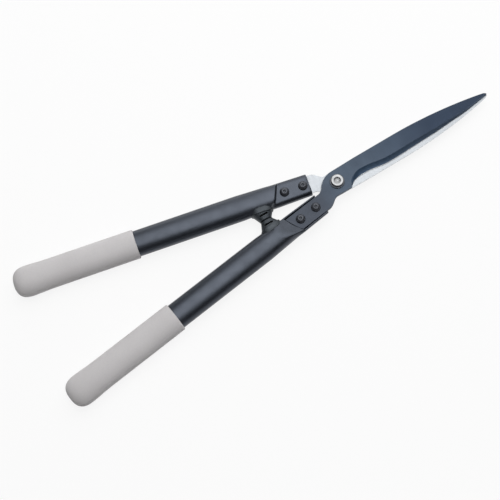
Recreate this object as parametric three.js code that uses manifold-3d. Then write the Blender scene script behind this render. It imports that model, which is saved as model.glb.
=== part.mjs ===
// Two-handed grass shears, closed and lying flat, in millimetres.
// +X runs along the closed blades to the tip, +Y towards the upper handle, +Z up along the pivot.
// The origin is the centre of the pivot bolt's flat lower end, on the surface that the shears lie on.
// Each half (blade, tang, handle) is built the same way. The back half is the front half's design
// turned half a turn about X, and each half has its own angle between blade and handle.
import * as THREE from 'three';
import { mergeVertices } from 'three/addons/utils/BufferGeometryUtils.js';
import Module from 'manifold-3d';

const wasm = await Module();
wasm.setup();

// Fits
const seatGap = 0.2; // between pieces that rest on each other
const bladeGap = 0.3; // between the two blades' inner faces
const slideGap = 0.3; // round a pin or a stem in its hole
const overrun = 3; // how far a cut runs past the faces it opens

// Blades
const bladeLength = 200; // from the pivot to the tip
const bladeHalfWidth = 14.3;
const bladeThickness = 3.6;
const tipThickness = 2.2;
const thinningStart = 70; // from here the blade thins towards the tip
const edgeLand = 0.7; // thickness left at the cutting edge
const grindWidth = 6.4; // width of the hollow-ground band at its widest
const grindHollow = 0.3; // how far the band sags below a straight slope
// The cutting edge, root to tip: a bay near the pivot, a belly, then a long run to the tip.
// Each pair holds a share of the blade's length and a share of its half width.
const edgeShares = [
  [0.0525, -1], [0.066, -0.8], [0.09, -0.58], [0.122, -0.49], [0.16, -0.475], [0.21, -0.53],
  [0.285, -0.695], [0.36, -0.715], [0.45, -0.675], [0.54, -0.645], [0.63, -0.58], [0.73, -0.485],
  [0.83, -0.37], [0.925, -0.19], [0.985, -0.065],
];
// The spine from its straight run to the tip, as shares of the same two sizes.
const spineShares = [
  [0.42, 1], [0.5, 0.985], [0.58, 0.93], [0.66, 0.83], [0.75, 0.67], [0.85, 0.45], [0.94, 0.235], [0.985, 0.11],
];
// Width of the ground band along the edge, as pairs of a share of the edge and a share of grindWidth.
const grindShares = [[0, 0.04], [0.05, 0.6], [0.1, 1], [0.3, 0.92], [0.55, 0.75], [0.8, 0.5], [1, 0.22]];
// The head round the pivot, in shares of the blade's half width: where it meets the straight runs,
// and the Bezier points that lead to the tang.
const heelShare = [-0.56, -1];
const heelPullShare = [-0.93, -1];
const shoulderLowShare = [-1.2, 0.385];
const shoulderLowPullShare = [-1.35, 0.185];
const shoulderPullShares = [[-0.78, 0.8], [-0.36, 0.955]];
const shoulderTopShare = [0.05, 0.955];
const fullWidthShare = 0.15; // of the blade's length, where the spine has reached its full width

// Handles
const upperHandleAngle = THREE.MathUtils.degToRad(12); // between the handle and the blades' line
const lowerHandleAngle = THREE.MathUtils.degToRad(7.3);
const handleOffset = 8.3; // from the pivot out to the handle's axis
// Stations are measured backwards along the handle's axis, from beside the pivot.
const channelStation = 30; // front end of the channel
const screwStations = [37.5, 59];
const stepStation = 68.6; // where the tube steps down to the channel, on the axis
const stepSlant = 11.2; // how much further forward the step is at the outer side than at the inner
const stepLean = 1.6; // how far the step's riser leans back on the web's side
const crownLength = 18; // over which the tube rises behind the step from the rims to its full height
const tubeStation = 112; // behind this the tube is a plain oval
const gripStation = 232; // front edge of the grip
const handleStation = 373; // rear end of the grip
const tubeWidth = 29.7;
const tubeHeight = 20.4;
const tubeWall = 1.8;
const pressedWidth = 25.6; // width of the tube right behind the step
const rimWall = 2; // thickness of the channel's rims
const channelWidthFront = 25.3;
const channelWidthRear = 26.8;
const channelShift = 0.55; // how far outward the channel's middle lies from the handle's axis
const channelDepth = 8; // from the web's outer face to the rims
const rimFade = 14; // length over which the rims sink into the tube behind the step
const rimSink = 1; // how far in they have gone there
const channelCorner = 5;
const tangRunUp = 3.6; // how far in front of the channel the tang is already parallel
const ovalPower = 2.2; // 2 is an ellipse
const pressedPower = 2.8; // squarer section where the tube is pressed

// Grips
const gripWall = 1.9;
const gripSwell = 0.85; // extra half width at the rear
const gripSwellHeight = 0.4; // extra half height there
const gripSwellLength = 22; // length over which it swells
const gripDome = 18; // length of the rounded end
const gripLip = 1; // rounding of the front edge
const domePower = 2.7;
const domeTurnShare = 0.94; // share of a quarter turn after which the dome ends in a small flat

// Bumpers
const bumperStation = 90;
const bumperBaseLength = 25.6;
const bumperBaseHeight = 18;
const bumperFlange = 1.2; // how far the flange stands out of the tube's side
const bumperStep = 0.6; // how much smaller the stud is than its flange, all round
const bumperTopLength = 15;
const bumperTopHeight = 12;
const bumperSlotLength = 10.4;
const bumperSlotWidth = 1.7;
const bumperSlotDepth = 5.7; // from the stud's end to the middle of its slot
const bumperCornerPower = 2.6;
const stemRadius = 3.2;
const barbRadius = 5;
const barbLength = 4;

// Handle screws and nuts, M6
const screwRadius = 3;
const screwHeadRadius = 5.25;
const screwHeadHeight = 3.3;
const screwRimShare = 0.2; // of the head's height, up to where its dome starts
const screwTurnShare = 0.72; // share of a quarter turn after which the dome ends in a flat
const screwSocket = 4; // across flats
const screwSocketDepth = 2;
const nutWidth = 10; // across flats
const nutHeight = 4.4;
const nutCollar = 1; // round collar that holds the locking ring
const threadEnd = 0.8; // how far a screw stands out of its nut

// Pivot, M8
const pivotRadius = 4;
const pivotHeadRadius = 7;
const pivotHeadHeight = 3.2;
const pivotHeadChamfer = 0.8;
const pivotSocket = 6;
const pivotSocketDepth = 2;
const topWasherRadius = 8.3;
const bottomWasherRadius = 8;
const washerThickness = 1.2;
const springRadius = 7.5;
const springThickness = 0.8;
const springRise = 0.6;
const pivotNutWidth = 13;
const pivotNutHeight = 4.2;
const pivotEnd = 0.6; // how far, at least, the bolt stands out of its nut
const endChamfer = 0.5;

// Facets
const ovalFacets = 36;
const roundFacets = 20;
const edgeSteps = 44;
const curveSteps = 10;
const domeRings = 7;
const taperSteps = 5;

// Derived sizes
const gripHalfHeight = tubeHeight / 2 + gripWall;
const tubeEnd = handleStation - gripDome;
const webThickness = 2 * tubeWall; // the tube's two walls pressed together
const innerFace = bladeGap / 2; // height of a blade's inner face above the plane between the blades
const outerFace = innerFace + bladeThickness;
const webTop = innerFace - seatGap;
const webBottom = webTop - webThickness;
const rimTop = webBottom + channelDepth;
const tangHalfWidth = channelWidthFront / 2 - rimWall - slideGap;
const tangInner = channelShift - tangHalfWidth; // the tang's sides, outward from the handle's axis
const tangOuter = channelShift + tangHalfWidth;
const closedHalfAngle = (upperHandleAngle + lowerHandleAngle) / 2;
const pivotStack = outerFace + washerThickness + springThickness + springRise + pivotNutHeight
  + 3 * seatGap + pivotEnd;
// The plane between the blades lies as high as the thicker of the grip and the pivot's lower end needs.
const middleHeight = Math.max(gripHalfHeight + gripSwellHeight, pivotStack);

// Materials
const satinPaint = new THREE.MeshStandardMaterial({ color: 0x3b3e45, roughness: 0.45, metalness: 0.25 });
const blueSteel = new THREE.MeshStandardMaterial({ color: 0x4a5866, roughness: 0.35, metalness: 0.8 });
const groundSteel = new THREE.MeshStandardMaterial({ color: 0xd9dee2, roughness: 0.3, metalness: 0.9 });
const greyGrip = new THREE.MeshStandardMaterial({ color: 0xb9b6b5, roughness: 0.85, metalness: 0 });
const blackRubber = new THREE.MeshStandardMaterial({ color: 0x25272a, roughness: 0.8, metalness: 0 });
const darkScrew = new THREE.MeshStandardMaterial({ color: 0x2b2d31, roughness: 0.45, metalness: 0.7 });
const brightBolt = new THREE.MeshStandardMaterial({ color: 0xd8dadc, roughness: 0.2, metalness: 0.9 });

// Turns a closed geometry into a solid that can be cut and joined.
function toSolid(geometry) {
  const plain = geometry.clone();
  plain.deleteAttribute('normal');
  plain.deleteAttribute('uv');
  const merged = mergeVertices(plain);
  const index = merged.index.array;
  const triangles = [];
  for (let i = 0; i < index.length; i += 3) {
    const [a, b, c] = [index[i], index[i + 1], index[i + 2]];
    if (a !== b && b !== c && c !== a) triangles.push(a, b, c);
  }
  return new wasm.Manifold(new wasm.Mesh({
    numProp: 3,
    vertProperties: new Float32Array(merged.attributes.position.array),
    triVerts: new Uint32Array(triangles),
  }));
}

function toMesh(name, solid, material) {
  const { vertProperties, triVerts } = solid.getMesh();
  const geometry = new THREE.BufferGeometry();
  geometry.setAttribute('position', new THREE.BufferAttribute(new Float32Array(vertProperties), 3));
  geometry.setIndex(new THREE.BufferAttribute(new Uint32Array(triVerts), 1));
  geometry.computeVertexNormals();
  const mesh = new THREE.Mesh(geometry, material);
  mesh.name = name;
  return mesh;
}

// A closed body through rings of [x, y, z] points. Each ring is convex, has as many points as the
// others, and runs anticlockwise when the next rings lie towards the viewer.
function skin(rings) {
  const count = rings[0].length;
  const index = [];
  for (let r = 0; r + 1 < rings.length; r++) {
    for (let k = 0; k < count; k++) {
      const a = r * count + k;
      const b = r * count + (k + 1) % count;
      index.push(a, b, a + count, b, b + count, a + count);
    }
  }
  const last = (rings.length - 1) * count;
  for (let k = 1; k + 1 < count; k++) {
    index.push(0, k + 1, k);
    index.push(last, last + k, last + k + 1);
  }
  const geometry = new THREE.BufferGeometry();
  geometry.setAttribute('position', new THREE.Float32BufferAttribute(rings.flat(2), 3));
  geometry.setIndex(index);
  return toSolid(geometry);
}

// A skin through rings that lie across X, each given as { x, points } with [y, z] points.
function loft(rings) {
  return skin(rings.map(({ x, points }) => points.map(([y, z]) => [x, y, z])));
}

// A rounded ring: an ellipse at power 2, squarer at higher powers.
function ovalRing(halfWidth, halfHeight, power) {
  const points = [];
  for (let k = 0; k < ovalFacets; k++) {
    const turn = (k / ovalFacets) * 2 * Math.PI;
    const c = Math.cos(turn);
    const s = Math.sin(turn);
    points.push([
      halfWidth * Math.sign(c) * Math.abs(c) ** (2 / power),
      halfHeight * Math.sign(s) * Math.abs(s) ** (2 / power),
    ]);
  }
  return points;
}

// A solid of revolution about Z from [radius, height] pairs that start and end on the axis.
function turned(profile, facets = roundFacets) {
  const points = profile.map(([radius, height]) => new THREE.Vector2(radius, height));
  // Half a facet's turn keeps the edges off the planes of symmetry.
  return toSolid(new THREE.LatheGeometry(points, facets, Math.PI / facets).rotateX(Math.PI / 2));
}

function cylinder(radius, bottom, top, facets = roundFacets) {
  return turned([[0, bottom], [radius, bottom], [radius, top], [0, top]], facets);
}

// An upright prism over a plan outline.
function prism(outline, bottom, top) {
  const shape = outline.isShape ? outline : new THREE.Shape(outline);
  const geometry = new THREE.ExtrudeGeometry(shape, { depth: top - bottom, bevelEnabled: false, curveSegments: curveSteps });
  return toSolid(geometry.translate(0, 0, bottom));
}

function hexagon(acrossFlats, bottom, top) {
  return cylinder(acrossFlats / Math.sqrt(3), bottom, top, 6);
}

const smooth = THREE.MathUtils.smoothstep;
const lerp = THREE.MathUtils.lerp;

// Reads a table of [position, value] pairs at any position between them.
function readTable(table, position) {
  const next = table.findIndex(([at]) => at >= position);
  if (next <= 0) return table[0][1];
  const [fromAt, from] = table[next - 1];
  const [toAt, to] = table[next];
  return lerp(from, to, (position - fromAt) / (toAt - fromAt));
}

// From a handle's own stations and outward distances to the plan of its blade.
function fromHandle(angle, station, outward) {
  const across = handleOffset + outward;
  return new THREE.Vector2(
    -Math.cos(angle) * station + Math.sin(angle) * across,
    -Math.sin(angle) * station - Math.cos(angle) * across,
  );
}

// Where the slanted step crosses a line at some distance outward from the handle's axis.
function stepAt(outward) {
  return stepStation - (outward / channelWidthRear) * stepSlant;
}

function bladePoint([lengthShare, widthShare]) {
  return new THREE.Vector2(lengthShare * bladeLength, widthShare * bladeHalfWidth);
}

function headPoint([xShare, yShare]) {
  return new THREE.Vector2(xShare * bladeHalfWidth, yShare * bladeHalfWidth);
}

const edgeCurve = new THREE.SplineCurve(edgeShares.map(bladePoint));
const spineCurve = new THREE.SplineCurve(spineShares.map(bladePoint));

// The blade with its tang in plan: cutting edge, tip, spine, shoulder, tang and heel.
function bladeOutline(angle) {
  const edge = edgeCurve.getSpacedPoints(edgeSteps);
  const spine = spineCurve.getPoints(edgeSteps / 2).reverse();
  const beyondTip = new THREE.Vector2(2 * bladeLength - spine[0].x, 0);
  const tip = new THREE.QuadraticBezierCurve(edge.at(-1), beyondTip, spine[0]);
  const tangBack = (side) => fromHandle(angle, stepAt(side) - seatGap - slideGap, side);
  const tangFront = channelStation - tangRunUp;
  const pull = tangFront - 2 * tangRunUp;
  const shoulder = new THREE.CubicBezierCurve(
    headPoint(shoulderTopShare),
    headPoint(shoulderPullShares[1]),
    headPoint(shoulderPullShares[0]),
    headPoint(shoulderLowShare),
  );
  const throat = new THREE.CubicBezierCurve(
    headPoint(shoulderLowShare),
    headPoint(shoulderLowPullShare),
    fromHandle(angle, pull + tangRunUp / 2, tangInner),
    fromHandle(angle, tangFront, tangInner),
  );
  const heel = new THREE.CubicBezierCurve(
    fromHandle(angle, tangFront, tangOuter),
    fromHandle(angle, pull, tangOuter),
    headPoint(heelPullShare),
    headPoint(heelShare),
  );
  return [
    ...edge,
    ...tip.getPoints(curveSteps / 2).slice(1, -1),
    ...spine,
    bladePoint([fullWidthShare, 1]),
    ...shoulder.getPoints(curveSteps),
    ...throat.getPoints(curveSteps).slice(1),
    tangBack(tangInner),
    tangBack(tangOuter),
    ...heel.getPoints(curveSteps),
  ];
}

// The wheel's cut that leaves the hollow-ground band along the cutting edge.
function grindCut() {
  const rings = [];
  // The rings lie between the outline's own points, and the cut runs out past both ends.
  for (let i = 0; i <= edgeSteps + 1; i++) {
    const share = THREE.MathUtils.clamp((i - 0.5) / edgeSteps, 0, 1);
    const along = edgeCurve.getTangentAt(share);
    const runOut = (i === 0 ? -seatGap : 0) + (i > edgeSteps ? overrun : 0);
    const at = edgeCurve.getPointAt(share).addScaledVector(along, runOut);
    const inward = new THREE.Vector2(-along.y, along.x);
    const width = grindWidth * readTable(grindShares, share);
    const rise = bladeThickness - edgeLand;
    const middle = rise / 2 - grindHollow;
    const slope = Math.min(middle / (width / 2), 1);
    const section = [
      [-overrun, edgeLand - slope * overrun],
      [width / 2, edgeLand + slope * width / 2],
      [width, bladeThickness],
      [width, bladeThickness + overrun],
      [-overrun, bladeThickness + overrun],
    ];
    rings.push(section.map(([into, height]) => [at.x + inward.x * into, at.y + inward.y * into, innerFace + height]));
  }
  return skin(rings);
}

// The wedge taken off the outer face so that the blade thins towards its tip.
function thinningCut() {
  const outline = new THREE.Shape([
    new THREE.Vector2(thinningStart, outerFace),
    new THREE.Vector2(bladeLength, innerFace + tipThickness),
    new THREE.Vector2(bladeLength + overrun, innerFace + tipThickness),
    new THREE.Vector2(bladeLength + overrun, outerFace + overrun),
    new THREE.Vector2(thinningStart, outerFace + overrun),
  ]);
  const reach = bladeHalfWidth + overrun;
  const geometry = new THREE.ExtrudeGeometry(outline, { depth: 2 * reach, bevelEnabled: false });
  return toSolid(geometry.rotateX(Math.PI / 2).translate(0, reach, 0));
}

function bladeSolid(angle) {
  let blade = prism(bladeOutline(angle), innerFace, outerFace).subtract(grindCut()).subtract(thinningCut());
  const bottom = innerFace - overrun;
  const top = outerFace + overrun;
  blade = blade.subtract(cylinder(pivotRadius + slideGap, bottom, top));
  for (const station of screwStations) {
    const at = fromHandle(angle, station, 0);
    blade = blade.subtract(cylinder(screwRadius + slideGap, bottom, top).translate(at.x, at.y, 0));
  }
  return blade;
}

// Half width of the channel's outside at a station.
function channelHalfWidth(station) {
  const blend = THREE.MathUtils.clamp((station - channelStation) / (stepStation - channelStation), 0, 1);
  return lerp(channelWidthFront, channelWidthRear, blend) / 2;
}

// Half width of the oval tube at a station.
function tubeHalfWidth(station) {
  const blend = THREE.MathUtils.clamp((station - stepStation) / (tubeStation - stepStation), 0, 1);
  return lerp(pressedWidth, tubeWidth, blend) / 2;
}

// The tube's oval body, grown or shrunk by an offset on every side.
function tubeBody(offset, from, to) {
  const stations = [from];
  for (let k = 0; k <= taperSteps; k++) stations.push(lerp(stepStation, tubeStation, k / taperSteps));
  stations.push(to);
  const inside = stations.filter((station) => station >= from && station <= to);
  return loft([...new Set(inside)].map((station) => {
    const blend = smooth(station, stepStation, tubeStation);
    const power = lerp(pressedPower, ovalPower, blend);
    return { x: station, points: ovalRing(tubeHalfWidth(station) + offset, tubeHeight / 2 + offset, power) };
  }));
}

// A block in front of the slanted step, with its back shifted to the rear at the bottom and the top.
function aheadOfStep(bottomShift, bottom, topShift, top) {
  const reach = tubeWidth;
  const ring = (shift, height) => [
    [0, -reach, height],
    [stepAt(-reach) + shift, -reach, height],
    [stepAt(reach) + shift, reach, height],
    [0, reach, height],
  ];
  return skin([ring(bottomShift, bottom), ring(topShift, top)]);
}

// What is taken off the oval tube at the step: all in front of it and above the crown's slope.
function steppedOff(wall) {
  const high = tubeHeight;
  const lean = stepLean * (webBottom + high) / (webBottom + tubeHeight / 2);
  const below = aheadOfStep(wall + lean, -high, wall, webBottom);
  const above = aheadOfStep(wall, webBottom, wall, high);
  const run = crownLength * (high - rimTop) / (tubeHeight / 2 - rimTop);
  const crownCut = toSolid(new THREE.ExtrudeGeometry(new THREE.Shape([
    new THREE.Vector2(0, rimTop),
    new THREE.Vector2(run, high),
    new THREE.Vector2(-run, high),
  ]), { depth: 2 * tubeWidth, bevelEnabled: false })
    .rotateX(Math.PI / 2).translate(0, tubeWidth, -wall)
    .rotateZ(Math.atan2(stepSlant, channelWidthRear)).translate(stepStation, 0, 0));
  return below.add(above).add(crownCut);
}

// The channel's outside: rounded at the web's corners, square at the rims.
function channelRing(half) {
  const points = [];
  const corners = [[half - channelCorner, -Math.PI / 2], [channelCorner - half, Math.PI]];
  const steps = curveSteps / 2;
  points.push([half, rimTop], [-half, rimTop]);
  for (const [centre, start] of corners.reverse()) {
    for (let k = 0; k <= steps; k++) {
      const turn = start + (k / steps) * (Math.PI / 2);
      points.push([
        centre + channelCorner * Math.cos(turn),
        webBottom + channelCorner + channelCorner * Math.sin(turn),
      ]);
    }
  }
  return points;
}

// The handle's tube: an oval tube whose front end steps down to an open channel for the tang.
function tubeSolid() {
  const tubeFront = stepAt(tubeWidth / 2) - overrun;
  const high = tubeHeight;
  let body = tubeBody(0, tubeFront, tubeEnd).subtract(steppedOff(0));
  // The rims run on behind the step and sink into the tube's sides.
  const fadeStart = stepStation + stepSlant / 2;
  const channelBack = fadeStart + rimFade;
  const channel = loft([
    [channelStation, channelHalfWidth(channelStation)],
    [stepStation, channelHalfWidth(stepStation)],
    [fadeStart, channelHalfWidth(stepStation)],
    [channelBack, tubeHalfWidth(stepStation) - rimSink],
  ].map(([station, half]) => ({ x: station, points: channelRing(half) })));
  body = body.add(channel.translate(0, channelShift, 0));
  // The hollow of the tube, closed in front by the step's riser and the crown.
  const hollow = tubeBody(-tubeWall, tubeFront, tubeEnd + overrun);
  body = body.subtract(hollow.subtract(steppedOff(tubeWall)));
  const pocketRing = (station) => {
    const half = channelHalfWidth(station) - rimWall;
    return { x: station, points: [[half, webTop], [half, high], [-half, high], [-half, webTop]] };
  };
  const pocket = loft([pocketRing(channelStation - overrun), pocketRing(stepStation), pocketRing(channelBack)]);
  const openAbove = pocket.translate(0, channelShift, 0).intersect(aheadOfStep(0, webTop, 0, high));
  body = body.subtract(openAbove);
  for (const station of screwStations) {
    body = body.subtract(cylinder(screwRadius + slideGap, -high, high).translate(station, 0, 0));
  }
  const stemHole = cylinder(stemRadius + slideGap, 0, tubeWidth).rotate([90, 0, 0]);
  return body.subtract(stemHole.translate(bumperStation, 0, 0));
}

// The grip: a sleeve with a rounded closed end that the tube is pushed into.
function gripSolid() {
  const domeStart = handleStation - gripDome;
  const half = tubeWidth / 2 + gripWall;
  const lastTurn = (Math.PI / 2) * domeTurnShare;
  const rings = [
    { x: gripStation, points: ovalRing(half - gripLip / 2, gripHalfHeight - gripLip / 2, ovalPower) },
    { x: gripStation + gripLip, points: ovalRing(half, gripHalfHeight, ovalPower) },
    { x: domeStart - gripSwellLength, points: ovalRing(half, gripHalfHeight, ovalPower) },
  ];
  for (let k = 0; k <= domeRings; k++) {
    const turn = (k / domeRings) * lastTurn;
    const along = (Math.sin(turn) / Math.sin(lastTurn)) ** (2 / domePower);
    const size = Math.cos(turn) ** (2 / domePower);
    rings.push({
      x: domeStart + gripDome * along,
      points: ovalRing((half + gripSwell) * size, (gripHalfHeight + gripSwellHeight) * size, ovalPower),
    });
  }
  const bore = loft([gripStation - overrun, tubeEnd + seatGap].map((station) => (
    { x: station, points: ovalRing(tubeWidth / 2 + seatGap, tubeHeight / 2 + seatGap, ovalPower) }
  )));
  return loft(rings).subtract(bore);
}

// The rubber stop on the handle's inner side: a flange on the tube, and a stud that leans so that
// its end lies flat against the other stop's.
function bumperSolid() {
  const side = tubeHalfWidth(bumperStation);
  const flangeTop = side + bumperFlange;
  const studLength = bumperStation * Math.sin(closedHalfAngle)
    - (flangeTop - handleOffset) * Math.cos(closedHalfAngle) - seatGap / 2;
  // A place in plan from the flange's face: how deep along the leaning axis, and how far across it.
  const onStud = (lean, depth, across) => [
    bumperStation - Math.sin(lean) * depth + Math.cos(lean) * across,
    -flangeTop - Math.cos(lean) * depth - Math.sin(lean) * across,
  ];
  const ring = (lean, depth, length, height) => ovalRing(length / 2, height / 2, bumperCornerPower)
    .map(([across, up]) => [...onStud(lean, depth, across), up]);
  const stud = skin([
    ring(0, side / 2 - flangeTop, bumperBaseLength, bumperBaseHeight),
    ring(0, -bumperStep, bumperBaseLength, bumperBaseHeight),
    ring(0, 0, bumperBaseLength - bumperStep, bumperBaseHeight - bumperStep),
    ring(0, 0, bumperBaseLength - 2 * bumperStep, bumperBaseHeight - 2 * bumperStep),
    ring(closedHalfAngle, studLength, bumperTopLength, bumperTopHeight),
  ]);
  const slotMiddle = studLength - bumperSlotDepth;
  const slot = prism([[-1, -1], [1, -1], [1, 1], [-1, 1]].map(([deeper, further]) => new THREE.Vector2(
    ...onStud(closedHalfAngle, slotMiddle + deeper * bumperSlotWidth / 2, further * bumperSlotLength / 2),
  )), -tubeHeight, tubeHeight);
  const wallInside = side - tubeWall;
  const stem = cylinder(stemRadius, wallInside - barbLength, flangeTop).rotate([90, 0, 0]);
  const barb = turned([
    [0, wallInside - barbLength],
    [stemRadius, wallInside - barbLength],
    [barbRadius, wallInside - seatGap],
    [barbRadius, side],
    [0, side],
  ]).rotate([90, 0, 0]).translate(bumperStation, 0, 0);
  const inside = tubeBody(-tubeWall - seatGap, stepStation, gripStation);
  const root = stem.translate(bumperStation, 0, 0).add(barb.intersect(inside));
  const tube = tubeBody(seatGap, stepStation, gripStation);
  return stud.subtract(tube).subtract(slot).add(root);
}

// A button-head screw, head up, with the underside of its head at height 0.
function screwSolid(grip) {
  const length = grip + 2 * seatGap + nutHeight + threadEnd;
  const dome = [];
  const steps = curveSteps / 2;
  const lastTurn = (Math.PI / 2) * screwTurnShare;
  for (let k = 0; k <= steps; k++) {
    const turn = (k / steps) * lastTurn;
    const rise = lerp(screwRimShare, 1, Math.sin(turn) / Math.sin(lastTurn));
    dome.push([screwHeadRadius * Math.cos(turn), screwHeadHeight * rise]);
  }
  const body = turned([
    [0, -length],
    [screwRadius - endChamfer, -length],
    [screwRadius, endChamfer - length],
    [screwRadius, 0],
    [screwHeadRadius, 0],
    ...dome,
    [0, screwHeadHeight],
  ]);
  return body.subtract(hexagon(screwSocket, screwHeadHeight - screwSocketDepth, screwHeadHeight + overrun));
}

// A lock nut with its seat at height 0 and its collar below.
function nutSolid(width, height, boreRadius) {
  const body = hexagon(width, nutCollar - height, 0).add(cylinder(width / 2 - nutCollar / 2, -height, 0));
  return body.subtract(cylinder(boreRadius, -height - overrun, overrun));
}

function washerSolid(radius, thickness) {
  return cylinder(radius, 0, thickness).subtract(cylinder(pivotRadius + slideGap, -overrun, thickness + overrun));
}

// A disc spring: a shallow cone, its inner rim higher than its outer.
function springSolid() {
  const bore = pivotRadius + slideGap;
  const points = [[springRadius, 0], [springRadius, springThickness],
    [bore, springThickness + springRise], [bore, springRise], [springRadius, 0]];
  return toSolid(new THREE.LatheGeometry(
    points.map(([radius, height]) => new THREE.Vector2(radius, height)),
    roundFacets,
  ).rotateX(Math.PI / 2));
}

function pivotBoltSolid(seat) {
  const top = seat + pivotHeadHeight;
  const body = turned([
    [0, 0],
    [pivotRadius - endChamfer, 0],
    [pivotRadius, endChamfer],
    [pivotRadius, seat],
    [pivotHeadRadius, seat],
    [pivotHeadRadius, top - pivotHeadChamfer],
    [pivotHeadRadius - pivotHeadChamfer, top],
    [0, top],
  ]);
  return body.subtract(hexagon(pivotSocket, top - pivotSocketDepth, top + overrun));
}

// One half of the shears, in its own frame with the blade above the plane between the blades.
// The names say which blade and handle it is. headsOnWeb puts the screw heads on the handle's web.
function makeHalf({ blade, handle, angle, steel, headsOnWeb }) {
  const half = new THREE.Group();
  half.add(toMesh(`${blade}_blade`, bladeSolid(angle), steel));
  const arm = new THREE.Group();
  arm.rotation.z = Math.PI + angle;
  arm.position.set(Math.sin(angle) * handleOffset, -Math.cos(angle) * handleOffset, 0);
  arm.add(toMesh(`${handle}_handle_tube`, tubeSolid(), satinPaint));
  arm.add(toMesh(`${handle}_grip`, gripSolid(), greyGrip));
  arm.add(toMesh(`${handle}_bumper`, bumperSolid(), blackRubber));
  const clamped = outerFace - webBottom;
  screwStations.forEach((station, i) => {
    const place = i === 0 ? 'front' : 'rear';
    const screw = toMesh(`${handle}_${place}_screw`, screwSolid(clamped), darkScrew);
    const nut = toMesh(`${handle}_${place}_nut`, nutSolid(nutWidth, nutHeight, screwRadius + slideGap), darkScrew);
    const headSeat = headsOnWeb ? webBottom - seatGap : outerFace + seatGap;
    const nutSeat = headsOnWeb ? outerFace + seatGap : webBottom - seatGap;
    screw.position.set(station, 0, headSeat);
    nut.position.set(station, 0, nutSeat);
    if (headsOnWeb) {
      screw.rotation.x = Math.PI;
      nut.rotation.x = Math.PI;
    }
    arm.add(screw, nut);
  });
  half.add(arm);
  half.position.z = middleHeight;
  return half;
}

const shears = new THREE.Group();

const frontHalf = makeHalf({
  blade: 'front', handle: 'lower', angle: lowerHandleAngle, steel: blueSteel, headsOnWeb: false,
});
const backHalf = makeHalf({
  blade: 'back', handle: 'upper', angle: upperHandleAngle, steel: groundSteel, headsOnWeb: true,
});
backHalf.rotation.x = Math.PI;
shears.add(frontHalf, backHalf);

// The pivot's hardware, stacked outwards from the blades.
const topWasherSeat = middleHeight + outerFace + seatGap;
const pivotHeadSeat = topWasherSeat + washerThickness + seatGap;
const bottomWasherSeat = middleHeight - outerFace - seatGap - washerThickness;
const springSeat = bottomWasherSeat - seatGap - springThickness - springRise;
const pivotNutSeat = springSeat - seatGap;

const topWasher = toMesh('pivot_washer_top', washerSolid(topWasherRadius, washerThickness), darkScrew);
topWasher.position.z = topWasherSeat;
const bottomWasher = toMesh('pivot_washer_bottom', washerSolid(bottomWasherRadius, washerThickness), darkScrew);
bottomWasher.position.z = bottomWasherSeat;
const spring = toMesh('pivot_disc_spring', springSolid(), brightBolt);
spring.position.z = springSeat;
const pivotNut = toMesh('pivot_nut', nutSolid(pivotNutWidth, pivotNutHeight, pivotRadius + slideGap), darkScrew);
pivotNut.position.z = pivotNutSeat;
const pivotBolt = toMesh('pivot_bolt', pivotBoltSolid(pivotHeadSeat), brightBolt);
shears.add(topWasher, bottomWasher, spring, pivotNut, pivotBolt);

export default shears;
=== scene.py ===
import math

import bmesh
import bpy
from mathutils import Matrix, Vector


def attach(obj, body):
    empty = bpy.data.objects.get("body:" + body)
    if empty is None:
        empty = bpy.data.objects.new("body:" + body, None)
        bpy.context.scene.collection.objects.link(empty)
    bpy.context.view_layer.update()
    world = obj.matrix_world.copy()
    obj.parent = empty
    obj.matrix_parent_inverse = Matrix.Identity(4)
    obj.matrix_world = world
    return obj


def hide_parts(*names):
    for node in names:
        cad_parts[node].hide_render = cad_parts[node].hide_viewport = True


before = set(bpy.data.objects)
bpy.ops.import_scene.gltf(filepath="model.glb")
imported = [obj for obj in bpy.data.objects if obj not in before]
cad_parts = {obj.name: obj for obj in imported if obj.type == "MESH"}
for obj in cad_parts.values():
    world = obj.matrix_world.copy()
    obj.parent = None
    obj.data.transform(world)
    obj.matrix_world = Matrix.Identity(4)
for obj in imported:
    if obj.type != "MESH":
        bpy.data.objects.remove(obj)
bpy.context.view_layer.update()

# Sizes and places shared by the pieces, in millimetres until add_mesh makes them metres

MM = 0.001
SEAT_GAP = 0.2  # between pieces that rest on each other
SLIDE_GAP = 0.3  # round a pin in its hole and the tang in its channel
MIDDLE = 12.5  # height of the plane between the blades
INNER = 0.15  # a blade's inner face above that plane
THICK = 3.6  # a blade's thickness
OUTER = INNER + THICK
SCREW_R, PIVOT_R = 3.0, 4.0
SCREW_HOLE, PIVOT_HOLE = SCREW_R + SLIDE_GAP, PIVOT_R + SLIDE_GAP

# The handles, whose stations are measured from the pivot along the handle
HANDLE_OFFSET = 8.3  # from the pivot out to the handle's middle line
UPPER_ANGLE = math.radians(12)
LOWER_ANGLE = math.radians(7.3)
CLOSED_ANGLE = (UPPER_ANGLE + LOWER_ANGLE) / 2
CHANNEL_X = 30  # front end of the open channel
SCREWS = (37.5, 59)
STEP_X = 68.6  # where the channel steps up to the tube
BUMPER_X = 90
TUBE_X = 112  # from here on the tube has its full width
GRIP_X, END_X = 232, 373
STEP_SLANT = 11.2  # how far the step slants over the channel's width
STEP_LEAN = 1.6  # run of the step's riser
STEP_BOW = 1.2  # how far the step curves back in its middle, seen from the rims
STEP_FADE = 5  # how much longer the riser runs at the inward side
CROWN_LENGTH = 18  # over this length the tube's crown rises from the rims' height
TUBE_W, TUBE_H = 29.7, 20.4
PRESSED_W = 25.6  # the tube's width right behind the step
CHANNEL_W = (25.3, 26.8)  # at the front end and at the step
CHANNEL_SHIFT = 0.55  # how much further out the channel lies than the tube
WALL, RIM = 1.8, 2.0
WEB_TOP = INNER - SEAT_GAP
WEB_BOTTOM = WEB_TOP - 2 * WALL
CHANNEL_HIGH = 8
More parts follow.
